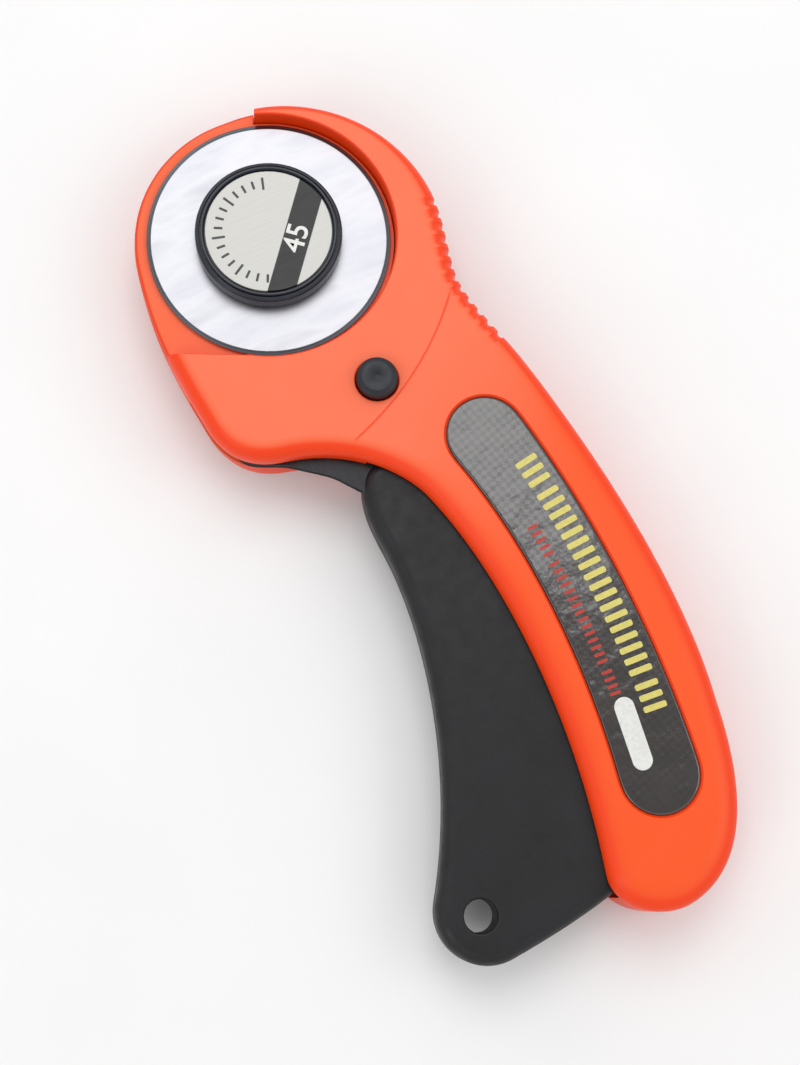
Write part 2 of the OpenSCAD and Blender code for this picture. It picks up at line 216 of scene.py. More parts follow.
GRIP = eased(even(
    bezier([(2, -46), (-2, -46), (-3.7, -47.5), (-4.7, -50.5)], 12)
    + bezier([(-4.7, -50.5), (-5.9, -54), (-5.6, -57), (-5.6, -60)], 12)
    + bezier([(-5.6, -60), (-4.4, -76), (-10.1, -101), (-23.8, -120.7)], 60)
    + arc((-16.8, -126.7), 9.2, 140, 270, 30)
    + bezier([(-16.8, -135.9), (-8, -135.4), (-2, -134.7), (3, -133.7)], 24)
    + bezier([(3, -133.7), (6.5, -133.1), (8.4, -132), (8.7, -128.5)], 12)
    + bezier([(8.7, -128.5), (15.5, -104), (16.5, -76), (10.5, -55)], 40)
    + bezier([(10.5, -55), (8.5, -48.5), (6, -46), (2, -46)], 12), 0.7), 2)
PLATE = rounded([(-9.5, 3, 8), (4, 11, 9), (12, -4, 9), (14.5, -37, 7), (9, -52, 6),
                 (11.5, -92, 4), (1.5, -92, 4), (-2, -53.2, 8), (-8, -45.2, 12), (-14.8, -39.9, 12),
                 (-21.6, -36.6, 5), (-24.4, -28, 4)])
INLAY = eased(even(
    arc((19.4, -51), 7.3, 10, 190, 30)
    + bezier([(12.2, -52.3), (18.2, -74), (16.5, -100), (13, -117.2)], 50)
    + arc((20.2, -118.5), 7.3, 170, 350, 30)
    + bezier([(27.4, -119.8), (31, -96), (30.6, -72), (26.6, -49.7)], 50), 0.8), 3)
# the fine line across the neck, where the casing's two mould faces meet
WITNESS = bezier([(26.6, -22.6), (18.5, -32.5), (8, -39.5), (-6.5, -43.4)], 40)
# place of each casing screw and the height of its head's low face
SCREWS = [(27.4, -1, 6.3), (24, -27, 6.3), (30.3, -58, 0.8), (31.4, -98, 0.8), (19, -136.2, 0.8)]


# ---- meshes, in millimetres ----

def mesh_of(verts, faces):
    mesh = bpy.data.meshes.new("part")
    mesh.from_pydata([tuple(v) for v in verts], [], faces)
    mesh.validate()
    mesh.update()
    return mesh


def loft(rings):
    """Closed solid through (line, height) rings of equal length, lowest first."""
    n = len(rings[0][0])
    verts = [(p.x, p.y, z) for line, z in rings for p in line]
    faces = [tuple(range(n - 1, -1, -1))]
    for j in range(len(rings) - 1):
        for i in range(n):
            a, b = j * n + i, j * n + (i + 1) % n
            faces.append((a, b, b + n, a + n))
    top = (len(rings) - 1) * n
    faces.append(tuple(range(top, top + n)))
    return mesh_of(verts, faces)


def slab(line, low, high):
    return loft([(line, low), (line, high)])


def quarter(n=8):
    return [i * pi / 2 / n for i in range(n + 1)]


def crowned_top(line, width, depth, low, high, n=10, foot=()):
    """Solid with upright walls on its foot's rings, and an elliptical rounding round its top."""
    rings = [*foot, (line, low)]
    for a in quarter(n):
        gap = (lambda p, a=a: width(p) * (1 - cos(a))) if callable(width) else width * (1 - cos(a))
        rings.append((inset(line, gap), high - depth * (1 - sin(a))))
    return loft(rings)


def lipped_hole(line, low, high, lip):
    """Cutter for an opening whose mouth has a rounded lip."""
    rings = [(line, low)]
    for a in quarter(5):
        rings.append((inset(line, -lip * (1 - cos(a))), high - lip * (1 - sin(a))))
    rings.append((rings[-1][0], high + 3))
    return loft(rings)


def lipped_under(line, low, high, lip):
    """Cutter for an opening in the back, with a rounded lip at its mouth."""
    mouth = [(inset(line, -lip * (1 - sin(a))), low + lip * (1 - cos(a))) for a in quarter(4)]
    return loft([(inset(line, -lip), low - 4)] + mouth + [(line, high)])


def lathe(profile, centre=(0, 0), n=128):
    """Closed solid of a profile (radius, height), lowest first; ends on the axis if the radius is 0."""
    verts, faces, rows = [], [], []
    for r, z in profile:
        if r < 1e-6:
            rows.append([len(verts)])
            verts.append((centre[0], centre[1], z))
        else:
            rows.append(list(range(len(verts), len(verts) + n)))
            verts += [(p.x, p.y, z) for p in circle(centre, r, n)]
    closed = len(rows[0]) > 1
    pairs = list(zip(rows, rows[1:] + ([rows[0]] if closed else [])))
    if not closed:
        pairs = pairs[:len(rows) - 1]
    for low, high in pairs:
        for i in range(n):
            k = (i + 1) % n
            if len(low) == 1:
                faces.append((low[0], high[k], high[i]))
            elif len(high) == 1:
                faces.append((low[i], low[k], high[0]))
            else:
                faces.append((low[i], low[k], high[k], high[i]))
    return mesh_of(verts, faces)


def tube(path, r, sides=12):
    """Round wire along points (x, y, z)."""
    path = [Vector(p) for p in path]
    n = len(path)
    verts = []
    for i, p in enumerate(path):
        way = (path[min(i + 1, n - 1)] - path[max(i - 1, 0)]).normalized()
        side = way.cross(Vector((0, 0, 1))).normalized()
        up = side.cross(way)
        verts += [p + r * (cos(2 * pi * k / sides) * side + sin(2 * pi * k / sides) * up)
                  for k in range(sides)]
    faces = [tuple(range(sides))]
    for i in range(n - 1):
        for k in range(sides):
            a, b = i * sides + k, i * sides + (k + 1) % sides
            faces.append((a, a + sides, b + sides, b))
    faces.append(tuple(range(n * sides - 1, (n - 1) * sides - 1, -1)))
    return mesh_of(verts, faces)


def joined(meshes):
    """One mesh of several separate ones."""
    bm = bmesh.new()
    for mesh in meshes:
        bm.from_mesh(mesh)
    out = bpy.data.meshes.new("part")
    bm.to_mesh(out)
    bm.free()
    return out


def outward(mesh):
    bm = bmesh.new()
    bm.from_mesh(mesh)
    bmesh.ops.recalc_face_normals(bm, faces=bm.faces)
    bm.to_mesh(mesh)
    bm.free()
    return mesh


def boolean(mesh, tools, how):
    """Result of a boolean between a solid and each of the tools in turn."""
    for tool in tools:
        target = bpy.data.objects.new("target", outward(mesh))
        other = bpy.data.objects.new("tool", outward(tool))
        for o in (target, other):
            bpy.context.scene.collection.objects.link(o)
        modifier = target.modifiers.new("cut", "BOOLEAN")
        modifier.operation = how
        modifier.solver = "MANIFOLD"
        modifier.object = other
        depsgraph = bpy.context.evaluated_depsgraph_get()
        mesh = bpy.data.meshes.new_from_object(target.evaluated_get(depsgraph))
        for o in (target, other):
            bpy.data.objects.remove(o)
    return mesh


def cut(mesh, *tools):
    return boolean(mesh, tools, "DIFFERENCE")


def merged(mesh, *tools):
    return boolean(mesh, tools, "UNION")


def common(mesh, *tools):
    return boolean(mesh, tools, "INTERSECT")


# ---- materials ----

def linear(code):
    """Linear colour of an sRGB hex value."""
    values = [int(code[i:i + 2], 16) / 255 for i in (1, 3, 5)]
    return [v / 12.92 if v <= 0.04045 else ((v + 0.055) / 1.055) ** 2.4 for v in values] + [1]


def wire(tree, source, socket):
    """Link to a socket from another one, or from the first output of a node."""
    tree.links.new(source.outputs[0] if isinstance(source, bpy.types.Node) else source, socket)


def add(tree, kind, settings=None, **links):
    """New node with its settings and its links.

    A setting names an input, an attribute, or a ramp's stops, each a place and a hex colour or a
    grey. A link names an input, by number if it starts with an underscore.
    """
    made = tree.nodes.new(kind)
    for key, value in (settings or {}).items():
        if key == "stops":
            elements = made.color_ramp.elements
            while len(elements) < len(value):
                elements.new(0.5)
            for element, (place, tone) in zip(elements, value):
                element.position = place
                element.color = linear(tone) if isinstance(tone, str) else (tone, tone, tone, 1)
        elif key in made.inputs:
            made.inputs[key].default_value = value
        elif key.isdigit():
            made.inputs[int(key)].default_value = value
        else:
            setattr(made, key, value)
    for key, source in links.items():
        wire(tree, source, made.inputs[int(key[1:]) if key[0] == "_" else key])
    return made


def per(mm):
    """Scale of a pattern whose features are mm wide, in cycles per metre."""
    return 1 / (mm * MM)


def finish(name, metallic=0.0, ior=None, coat=0.0, coat_rough=0.1):
    """Empty material with its shader; gives the material, its tree, the shader and the place."""
    material = bpy.data.materials.new(name)
    material.use_nodes = True
    tree = material.node_tree
    shader = tree.nodes["Principled BSDF"]
    shader.inputs["Metallic"].default_value = metallic
    if ior:
        shader.inputs["IOR"].default_value = ior
    if coat:
        shader.inputs["Coat Weight"].default_value = coat
        shader.inputs["Coat Roughness"].default_value = coat_rough
    place = add(tree, "ShaderNodeTexCoord").outputs["Object"]
    return material, tree, shader, place


def connect(tree, shader, colour, rough=None, normal=None):
    for key, source in (("Base Color", colour), ("Roughness", rough), ("Normal", normal)):
        if source is not None:
            wire(tree, source, shader.inputs[key])


def abs_moulded(name, light, deep, edge):
    """ABS, injection moulded in a satin mould: one orange with a faintly uneven tone, soft broad gloss, a
    faint grain.
    The flat of the head is paler than the handle because of a painted sheen, and the rounded edges are
    the deepest because of painted shade:
    light is the head's orange with its painted sheen, deep the handle's orange, and edge the painted
    shade of the rounded edges."""
    material, tree, shader, place = finish(name, ior=1.53)
    shader.inputs["Specular IOR Level"].default_value = 0.3
    # the distance down the handle from the witness line, in metres, fades the head's pale painted sheen
    # into the handle's deep orange
    neck = HOME + Vector((8.5, -37.9, 0)) * MM
    down = Vector((0.62, -0.78, 0))
    shifted = add(tree, "ShaderNodeVectorMath", {"operation": "SUBTRACT", "1": neck}, _0=place)
    along = add(tree, "ShaderNodeVectorMath", {"operation": "DOT_PRODUCT", "1": down}, _0=shifted)
    share = add(tree, "ShaderNodeMapRange",
                {"From Min": -2 * MM, "From Max": 38 * MM, "interpolation_type": "SMOOTHSTEP"},
                Value=along.outputs["Value"])
    mottle = add(tree, "ShaderNodeTexNoise", {"Scale": per(14), "Detail": 3.0}, Vector=place)
    spread = add(tree, "ShaderNodeMath", {"operation": "MULTIPLY_ADD", "1": 0.16, "2": -0.08}, _0=mottle)
    total = add(tree, "ShaderNodeMath", {"operation": "ADD", "use_clamp": True}, _0=share, _1=spread)
    tone_and_painted_sheen = add(tree, "ShaderNodeValToRGB", {"stops": [(0.0, light), (1.0, deep)]}, Fac=total)
    # surfaces that face up or down are flats, and those that lean are the rounded edges, which take the
    # edge colour as painted shade
    normal = add(tree, "ShaderNodeTexCoord").outputs["Normal"]
    upright = add(tree, "ShaderNodeSeparateXYZ", Vector=normal).outputs["Z"]
    size = add(tree, "ShaderNodeMath", {"operation": "ABSOLUTE"}, _0=upright)
    flat_without_painted_shade = add(tree, "ShaderNodeMapRange",
               {"From Min": 0.86, "From Max": 0.999, "interpolation_type": "SMOOTHSTEP"}, Value=size)
    # painted shade: the edge colour replaces the flats' colour where the surface leans
    colour = add(tree, "ShaderNodeMix", {"data_type": "RGBA", "6": linear(edge)}, _0=flat_without_painted_shade, _7=tone_and_painted_sheen)
    haze = add(tree, "ShaderNodeTexNoise", {"Scale": per(5), "Detail": 3.0}, Vector=place)
    rough = add(tree, "ShaderNodeValToRGB", {"stops": [(0.3, 0.36), (0.7, 0.46)]}, Fac=haze)
    # the mould's grain is finer than this, and is drawn 0.35 mm wide so that it shows
    grain = add(tree, "ShaderNodeTexNoise", {"Scale": per(0.35), "Detail": 2.0}, Vector=place)
    relief = add(tree, "ShaderNodeBump", {"Strength": 0.35, "Distance": 0.02 * MM}, Height=grain)
    connect(tree, shader, colour.outputs[2], rough, relief)
    return material


def nylon_grained(name, dark, lit, grain=0.45, rough=(0.42, 0.6)):
    """Glass-filled nylon, moulded in a spark-eroded mould: dull black with a fine leathery grain."""
    material, tree, shader, place = finish(name, ior=1.53)
    shader.inputs["Specular IOR Level"].default_value = 0.4
    cloud = add(tree, "ShaderNodeTexNoise", {"Scale": per(9), "Detail": 3.0}, Vector=place)
    colour = add(tree, "ShaderNodeValToRGB", {"stops": [(0.3, dark), (0.75, lit)]}, Fac=cloud)
    haze = add(tree, "ShaderNodeTexNoise", {"Scale": per(2.5), "Detail": 3.0}, Vector=place)
    tone = add(tree, "ShaderNodeValToRGB", {"stops": [(0.3, rough[0]), (0.7, rough[1])]}, Fac=haze)
    # the eroded grain is drawn a little coarser than the real one, so that it shows
    pits = add(tree, "ShaderNodeTexNoise", {"Scale": per(grain), "Detail": 2.0}, Vector=place)
    relief = add(tree, "ShaderNodeBump", {"Strength": 0.5, "Distance": 0.05 * MM}, Height=pits)
    connect(tree, shader, colour, tone, relief)
    return material


def acetal_polished(name, dark, lit):
    """Acetal, moulded in a polished mould: bluish black with clear highlights on its rings."""
    material, tree, shader, place = finish(name, ior=1.48)
    cloud = add(tree, "ShaderNodeTexNoise", {"Scale": per(6), "Detail": 3.0}, Vector=place)
    colour = add(tree, "ShaderNodeValToRGB", {"stops": [(0.3, dark), (0.7, lit)]}, Fac=cloud)
    haze = add(tree, "ShaderNodeTexNoise", {"Scale": per(3), "Detail": 3.0}, Vector=place)
    rough = add(tree, "ShaderNodeValToRGB", {"stops": [(0.3, 0.2), (0.7, 0.3)]}, Fac=haze)
    ripple = add(tree, "ShaderNodeTexNoise", {"Scale": per(0.5), "Detail": 3.0}, Vector=place)
    relief = add(tree, "ShaderNodeBump", {"Strength": 0.2, "Distance": 0.01 * MM}, Height=ripple)
    connect(tree, shader, colour, rough, relief)
    return material


def steel_ground(name):
    """Tool steel, ground and lapped: nearly white, with broad soft streaks from the lapping."""
    material, tree, shader, place = finish(name, metallic=1.0)
    lapping = (0, 0, radians(-38))
    centred = add(tree, "ShaderNodeVectorMath", {"operation": "SUBTRACT", "1": HOME}, _0=place)
    broad = add(tree, "ShaderNodeMapping", {"Scale": (0.28, 1, 1), "Rotation": lapping}, Vector=centred)
    streaks = add(tree, "ShaderNodeTexNoise", {"Scale": per(5), "Detail": 4.0}, Vector=broad)
    colour = add(tree, "ShaderNodeValToRGB",
                 {"stops": [(0.3, "#a8a9b0"), (0.55, "#c1c1c6"), (0.8, "#b5b4bc")]}, Fac=streaks)
    rough = add(tree, "ShaderNodeValToRGB", {"stops": [(0.3, 0.34), (0.7, 0.44)]}, Fac=streaks)
    # the lapping's scratches are hair-fine, and are drawn 0.5 mm wide so that they show
    long = add(tree, "ShaderNodeMapping", {"Scale": (0.04, 1, 1), "Rotation": lapping}, Vector=centred)
    fine = add(tree, "ShaderNodeTexNoise", {"Scale": per(0.5), "Detail": 3.0}, Vector=long)
    relief = add(tree, "ShaderNodeBump", {"Strength": 0.25, "Distance": 0.006 * MM}, Height=fine)
    connect(tree, shader, colour, rough, relief)
    return material


def steel_edge_painted_shade(name):
    """Ground edge of the blade: steel with fine grinding lines round it, coloured dark grey as painted
    shade.
    """
    material, tree, shader, place = finish(name, metallic=1.0)
    centred = add(tree, "ShaderNodeVectorMath", {"operation": "SUBTRACT", "1": HOME}, _0=place)
    radius = add(tree, "ShaderNodeVectorMath", {"operation": "LENGTH"}, _0=centred).outputs["Value"]
    # the grinding lines are finer than this, and are drawn 0.12 mm wide so that they show
    rings = add(tree, "ShaderNodeTexNoise", {"noise_dimensions": "1D", "Scale": per(0.12)}, W=radius)
    # painted shade: the ground edge is drawn far darker than the blade's own steel; the noise between the
    # two greys draws the grinding lines
    colour = add(tree, "ShaderNodeValToRGB", {"stops": [(0.3, "#4a4c52"), (0.7, "#6e7178")]}, Fac=rings)
    rough = add(tree, "ShaderNodeValToRGB", {"stops": [(0.3, 0.2), (0.7, 0.32)]}, Fac=rings)
    connect(tree, shader, colour, rough)
    return material


def metal_turned(name, light, dark, rough=(0.24, 0.34)):
    """Bright metal, turned or drawn: small even marks and a clear reflection."""
    material, tree, shader, place = finish(name, metallic=1.0)
    # the tool marks are finer than this, and are drawn 0.25 mm wide so that they show
    marks = add(tree, "ShaderNodeTexNoise", {"Scale": per(0.25), "Detail": 3.0}, Vector=place)
    colour = add(tree, "ShaderNodeValToRGB", {"stops": [(0.3, dark), (0.7, light)]}, Fac=marks)
    tone = add(tree, "ShaderNodeValToRGB", {"stops": [(0.3, rough[0]), (0.7, rough[1])]}, Fac=marks)
    relief = add(tree, "ShaderNodeBump", {"Strength": 0.2, "Distance": 0.01 * MM}, Height=marks)
    connect(tree, shader, colour, tone, relief)
    return material


def steel_blackened(name):
    """Stamped steel, blackened and oiled: dark, with a soft grey sheen and faint rolling lines."""
    material, tree, shader, place = finish(name, metallic=0.7)
    rolled = add(tree, "ShaderNodeMapping", {"Scale": (1, 0.1, 1), "Rotation": (0, 0, radians(20))},
                 Vector=place)
    lines = add(tree, "ShaderNodeTexNoise", {"Scale": per(0.8), "Detail": 3.0}, Vector=rolled)
    colour = add(tree, "ShaderNodeValToRGB", {"stops": [(0.3, "#2a2a2c"), (0.7, "#3c3c40")]}, Fac=lines)
    rough = add(tree, "ShaderNodeValToRGB", {"stops": [(0.3, 0.34), (0.7, 0.5)]}, Fac=lines)
    relief = add(tree, "ShaderNodeBump", {"Strength": 0.3, "Distance": 0.02 * MM}, Height=lines)
    connect(tree, shader, colour, rough, relief)
    return material


def film_printed(name):
    """Polyester film over a dark woven print: brownish black, very glossy, with a faint weave."""
    material, tree, shader, place = finish(name, ior=1.9, coat=0.5, coat_rough=0.12)
    along = add(tree, "ShaderNodeMapping", {"Rotation": (0, 0, radians(31))}, Vector=place)
    weave = add(tree, "ShaderNodeTexChecker", {"Scale": per(0.9)}, Vector=along).outputs["Fac"]
    mottle = add(tree, "ShaderNodeTexNoise", {"Scale": per(4), "Detail": 3.0}, Vector=place)
    weft = add(tree, "ShaderNodeValToRGB", {"stops": [(0.3, "#150e0b"), (0.7, "#1e1613")]}, Fac=mottle)
    warp = add(tree, "ShaderNodeValToRGB", {"stops": [(0.3, "#1d1512"), (0.7, "#2a201b")]}, Fac=mottle)
    colour = add(tree, "ShaderNodeMix", {"data_type": "RGBA"}, _0=weave, _6=weft, _7=warp)
    gloss = add(tree, "ShaderNodeMapRange", {"To Min": 0.24, "To Max": 0.14}, Value=weave)
    # the film isn't quite flat on its glue
    waves = add(tree, "ShaderNodeTexNoise", {"Scale": per(5), "Detail": 3.0}, Vector=place)
    relief = add(tree, "ShaderNodeBump", {"Strength": 0.8, "Distance": 0.3 * MM}, Height=waves)
    connect(tree, shader, colour.outputs[2], gloss, relief)
    return material


def ink(name, code):
    """Screen-printed ink: a flat film with a slightly uneven tone."""
    material, tree, shader, place = finish(name, ior=1.5)
    thin = "#" + "".join(f"{int(int(code[i:i + 2], 16) * 0.95):02x}" for i in (1, 3, 5))
    mesh_marks = add(tree, "ShaderNodeTexNoise", {"Scale": per(0.7), "Detail": 3.0}, Vector=place)
    colour = add(tree, "ShaderNodeValToRGB", {"stops": [(0.3, thin), (0.6, code)]}, Fac=mesh_marks)
    haze = add(tree, "ShaderNodeTexNoise", {"Scale": per(1.2), "Detail": 3.0}, Vector=place)
    rough = add(tree, "ShaderNodeValToRGB", {"stops": [(0.3, 0.34), (0.7, 0.46)]}, Fac=haze)
    connect(tree, shader, colour, rough)
    return material


def aluminium_lacquered(name, stripe_centre, stripe_way, stripe_width):
    """Aluminium label, brushed and clear-lacquered: silver grey, with a black printed stripe."""
    material, tree, shader, place = finish(name, metallic=0.2, coat=0.15, coat_rough=0.2)
    shifted = add(tree, "ShaderNodeVectorMath", {"operation": "SUBTRACT", "1": stripe_centre}, _0=place)
    across = Vector((-stripe_way.y, stripe_way.x, 0))
    off = add(tree, "ShaderNodeVectorMath", {"operation": "DOT_PRODUCT", "1": across}, _0=shifted)
    size = add(tree, "ShaderNodeMath", {"operation": "ABSOLUTE"}, _0=off.outputs["Value"])
    edge = stripe_width * MM / 2
    soft = 0.06 * MM
    mask = add(tree, "ShaderNodeMapRange", {"From Min": edge - soft, "From Max": edge + soft}, Value=size)
    # the brushing is finer than this, and is drawn 0.4 mm wide so that it shows
    long = add(tree, "ShaderNodeMapping", {"Scale": (0.05, 1, 1)}, Vector=place)
    brushed = add(tree, "ShaderNodeTexNoise", {"Scale": per(0.4), "Detail": 3.0}, Vector=long)
    silver = add(tree, "ShaderNodeValToRGB", {"stops": [(0.3, "#bfbeb9"), (0.7, "#c7c6c2")]}, Fac=brushed)
    cloud = add(tree, "ShaderNodeTexNoise", {"Scale": per(3), "Detail": 3.0}, Vector=place)
    black = add(tree, "ShaderNodeValToRGB", {"stops": [(0.3, "#0e0e10"), (0.7, "#18181a")]}, Fac=cloud)
    colour = add(tree, "ShaderNodeMix", {"data_type": "RGBA"}, _0=mask, _6=black, _7=silver)
    rough = add(tree, "ShaderNodeValToRGB", {"stops": [(0.3, 0.34), (0.7, 0.44)]}, Fac=brushed)
    connect(tree, shader, colour.outputs[2], rough)
    return material


# the stripe on the nut's disc runs up to the right, and passes below and right of its middle
STRIPE_WAY = Vector((cos(radians(50)), sin(radians(50))))
STRIPE_AT = 5.3 * Vector((STRIPE_WAY.y, -STRIPE_WAY.x))
STRIPE_WIDTH = 4.9

# front casing: a pale head orange that holds a painted sheen, the handle's orange, and a deeper edge
# orange that is painted shade
ORANGE = abs_moulded("abs_orange_front_painted_sheen_and_shade", "#fa714a", "#fa5820", "#fa4206")
# back casing: the same orange plastic as the front, its colours drawn a step darker as painted shade,
# with the same painted sheen and edge shade
ORANGE_BACK_SHADED = abs_moulded("abs_orange_back_painted_shade", "#f86638", "#f4501a", "#ee3e06")
GRIP_BLACK = nylon_grained("nylon_black_grip", "#101013", "#18181c")
BUTTON_BLACK = nylon_grained("nylon_black_button", "#14171d", "#20252e", 0.3, (0.34, 0.46))
NUT_BLACK = acetal_polished("acetal_black_nut", "#1a1d25", "#282d37")
BLADE_STEEL = steel_ground("tool_steel_lapped")
EDGE_STEEL_PAINTED_SHADE = steel_edge_painted_shade("tool_steel_ground_edge_painted_shade")
BRIGHT_STEEL = metal_turned("steel_turned", "#c3c4c8", "#b0b2b7")
SPRING_STEEL = metal_turned("spring_steel_drawn", "#9a9ca1", "#808288", (0.26, 0.38))
BLACK_STEEL = steel_blackened("steel_blackened_plate")
BRASS = metal_turned("brass_turned", "#d3ae66", "#c29c54")
FILM = film_printed("polyester_film_dark")
INK_YELLOW = ink("ink_yellow", "#dcd070")
INK_RED = ink("ink_red", "#b8382c")
INK_WHITE = ink("ink_white", "#e6e6e2")
INK_GREY = ink("ink_dark_grey", "#3c3c3e")
DISC_LABEL = aluminium_lacquered("aluminium_lacquered", HOME + STRIPE_AT.to_3d() * MM,
                                 STRIPE_WAY, STRIPE_WIDTH)


# ---- pieces ----

def piece(name, mesh, material, body, slot, *nodes, sharp=32):
    """Puts a mesh drawn in millimetres in its place, on its body, in place of the CAD nodes."""
    outward(mesh)
    mesh.transform(Matrix.Translation(HOME) @ Matrix.Scale(MM, 4))
    mesh.name = name
    mesh.materials.clear()
    mesh.materials.append(material)
    mesh.shade_smooth()
    mesh.set_sharp_from_angle(angle=radians(sharp))
    obj = bpy.data.objects.new(name, mesh)
    bpy.context.scene.collection.objects.link(obj)
    weighted = obj.modifiers.new("face_normals", "WEIGHTED_NORMAL")
    weighted.keep_sharp = True
    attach(obj, body)
    if nodes:
        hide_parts(*nodes)
    return obj


def leaning(points):
    """Points drawn along the open side of the head, in the tool's own directions."""
    return [Vector((x * cos(LEAN) + y * sin(LEAN), -x * sin(LEAN) + y * cos(LEAN))) for x, y in points]


def open_side(gap):
    """Outline of the open side of the head, moved in by gap."""
    x, y = STEP[0] - gap, STEP[1] + gap
    return leaning([(-70, y), (x, y), (x, 60), (-70, 60)])


def swept(line, gap, low, high):
    """Cutters for the space that an outline of the lever needs as it turns."""
    wide = inset(line, -gap)
    return [slab(turned(wide, angle), low, high) for angle in SWEEP]


def bolt_room(r, n):
    """Circles round the places that the blade's bolt passes as the lever turns."""
    return [circle(turned([Vector((0, 0))], angle)[0], r, n) for angle in SWEEP]


def lever_room():
    """Cutters that both shells share: the plate's slot, the grip's mouth and the handle's hollow."""
    low, high = PLATE_LOW - 0.3, PLATE_TOP + 0.3
    gap, wall = 0.7, 2.4
    handle = [Vector((-40, -54)), Vector((-40, -150)), Vector((50, -150)), Vector((50, -54))]
    hollow = common(slab(inset(BODY, wall), *GRIP_ROOM), slab(handle, 3, 14))
    slot_room = slab(leaning([(-40, -61), (14, -61), (14, -31), (-40, -31)]), low, high)
    return swept(PLATE, gap, low, high) + swept(even(GRIP, 2), gap, *GRIP_ROOM) + [hollow, slot_room]


def edge_width(p):
    """Width of the rounding along the front edge: narrow on the head, broad on the handle."""
    return 3.4 + 1.6 * smooth((-42 - p.y) / 18) - 1.2 * smooth((p.y + 6) / 22)


def grooves():
    """Cutters for the teeth of the thumb rest: round grooves that run out over the front edge."""
    r, shallow = 0.95, 0.42
    out = []
    for i, p in enumerate(THUMB[2:]):
        ahead = THUMB[min(i + 3, len(THUMB) - 1)]
        behind = THUMB[i + 1]
        t = (ahead - behind).normalized()
        away = Vector((t.y, -t.x))
        foot = p + away * shallow
        rings = [(circle(foot, r, 24), JOINT - 1)]
        for a in quarter(8):
            back = foot - away * edge_width(p) * (1 - cos(a))
            rings.append((circle(back, r, 24), FRONT - EDGE_DEPTH * (1 - sin(a))))
        rings.append((rings[-1][0], FRONT + 1))
        out.append(loft(rings))
    return out


def front_shell():
    body = crowned_top(BODY, edge_width, EDGE_DEPTH, JOINT + SEAM, FRONT, 12,
                       [(inset(BODY, SEAM), JOINT)])
    recess = lipped_hole(circle((0, 0), RECESS_R, 160), JOINT - 1, FRONT, 0.5)
    lip = 0.35
    side = lipped_hole(open_side(0), JOINT - 1, FRONT, lip)
    mouth = inset(INLAY, -lip)
    pocket = loft([(INLAY, FRONT - 2 * lip), (INLAY, FRONT - lip), (mouth, FRONT), (mouth, FRONT + 2)])
    button_hole = lipped_hole(circle(LOCK, CAP_R + 0.15, 64), PLATE_TOP - 0.7, FRONT, lip)
    line = tube([(p.x, p.y, FRONT + 0.05) for p in WITNESS], 0.2, 8)
    body = cut(body, recess, side, *lever_room())
    return cut(body, pocket, button_hole, line, *grooves())


def lift(y):
    """How far the back of the tool stands off its resting plane."""
    return HEAD_BACK * smooth((y - RAMP_START) / RAMP_LENGTH)


def raised_back(mesh, depth):
    """Lifts the back of the head to its height, with a smooth ramp from the handle."""
    bm = bmesh.new()
    bm.from_mesh(mesh)
    steps = RAMP_LENGTH * 2
    for i in range(steps + 1):
        geometry = list(bm.verts) + list(bm.edges) + list(bm.faces)
        at = (0, RAMP_START + i * RAMP_LENGTH / steps, 0)
        bmesh.ops.bisect_plane(bm, geom=geometry, plane_co=at, plane_no=(0, 1, 0))
    for v in bm.verts:
        v.co.z += lift(v.co.y) * min(1, (JOINT - v.co.z) / (JOINT - depth))
    bm.to_mesh(mesh)
    bm.free()
    return mesh


def back_shell():
    depth, width, gap = 2.6, 3.5, 0.25
    rings = [(inset(BODY, width * (1 - cos(a))), depth * (1 - sin(a))) for a in reversed(quarter(10))]
    rings += [(BODY, JOINT - SEAM), (inset(BODY, SEAM), JOINT)]
    body = raised_back(loft(rings), depth)
    rim = crowned_top(inset(BODY, SEAM), 0.8, 0.8, JOINT - 1, GUARD, 8)
    area = merged(slab(circle((0, 0), RECESS_R - gap, 160), JOINT - 2, GUARD + 2),
                  slab(open_side(gap), JOINT - 2, GUARD + 2))
    body = merged(body, common(rim, area))
    spacer_way = [slab(line, PLATE_TOP, GUARD + 1) for line in bolt_room(6.7, 64)]
    body = cut(body, *lever_room(), *spacer_way)
    window = [lipped_under(line, HEAD_BACK, PLATE_LOW, 0.5) for line in bolt_room(7.2, 72)]
    lip = 0.3
    holes = [lipped_under(circle(PIVOT, PIN_HEAD_R + 0.2, 64), HEAD_BACK, HEAD_BACK + 1.05, lip),
             slab(circle(PIVOT, PIN_R + 0.05, 48), HEAD_BACK, JOINT),
             lipped_under(circle(LOCK, 3.35, 64), HEAD_BACK, HEAD_BACK + 2.2, lip),
             slab(circle(LOCK, STEM_R + 0.1, 48), HEAD_BACK, JOINT + 1),
             slab(circle(PIVOT, 6.6, 64), PLATE_LOW - 3, PLATE_LOW + 1)]
    holes += [lipped_under(circle((x, y), 2.55, 48), lift(y), low + 1.7, lip) for x, y, low in SCREWS]
    return cut(body, *window, *holes)


def lever_grip():
    soft, low, high = 2.6, level("lever_grip", 0), level("lever_grip", 1)
    rings = [(inset(GRIP, soft * (1 - cos(a))), low + soft * (1 - sin(a))) for a in reversed(quarter(9))]
    rings += [(inset(GRIP, soft * (1 - cos(a))), high - soft * (1 - sin(a))) for a in quarter(9)]
    eye, lip = circle(HANG, 2.9, 64), 0.5
    mouth = [(inset(eye, -lip * (1 - sin(a))), low + lip * (1 - cos(a))) for a in quarter(4)]
    mouth += [(inset(eye, -lip * (1 - cos(a))), high - lip * (1 - sin(a))) for a in quarter(4)]
    hole = loft([(mouth[0][0], low - 2)] + mouth + [(mouth[-1][0], high + 2)])
    return cut(loft(rings), hole)


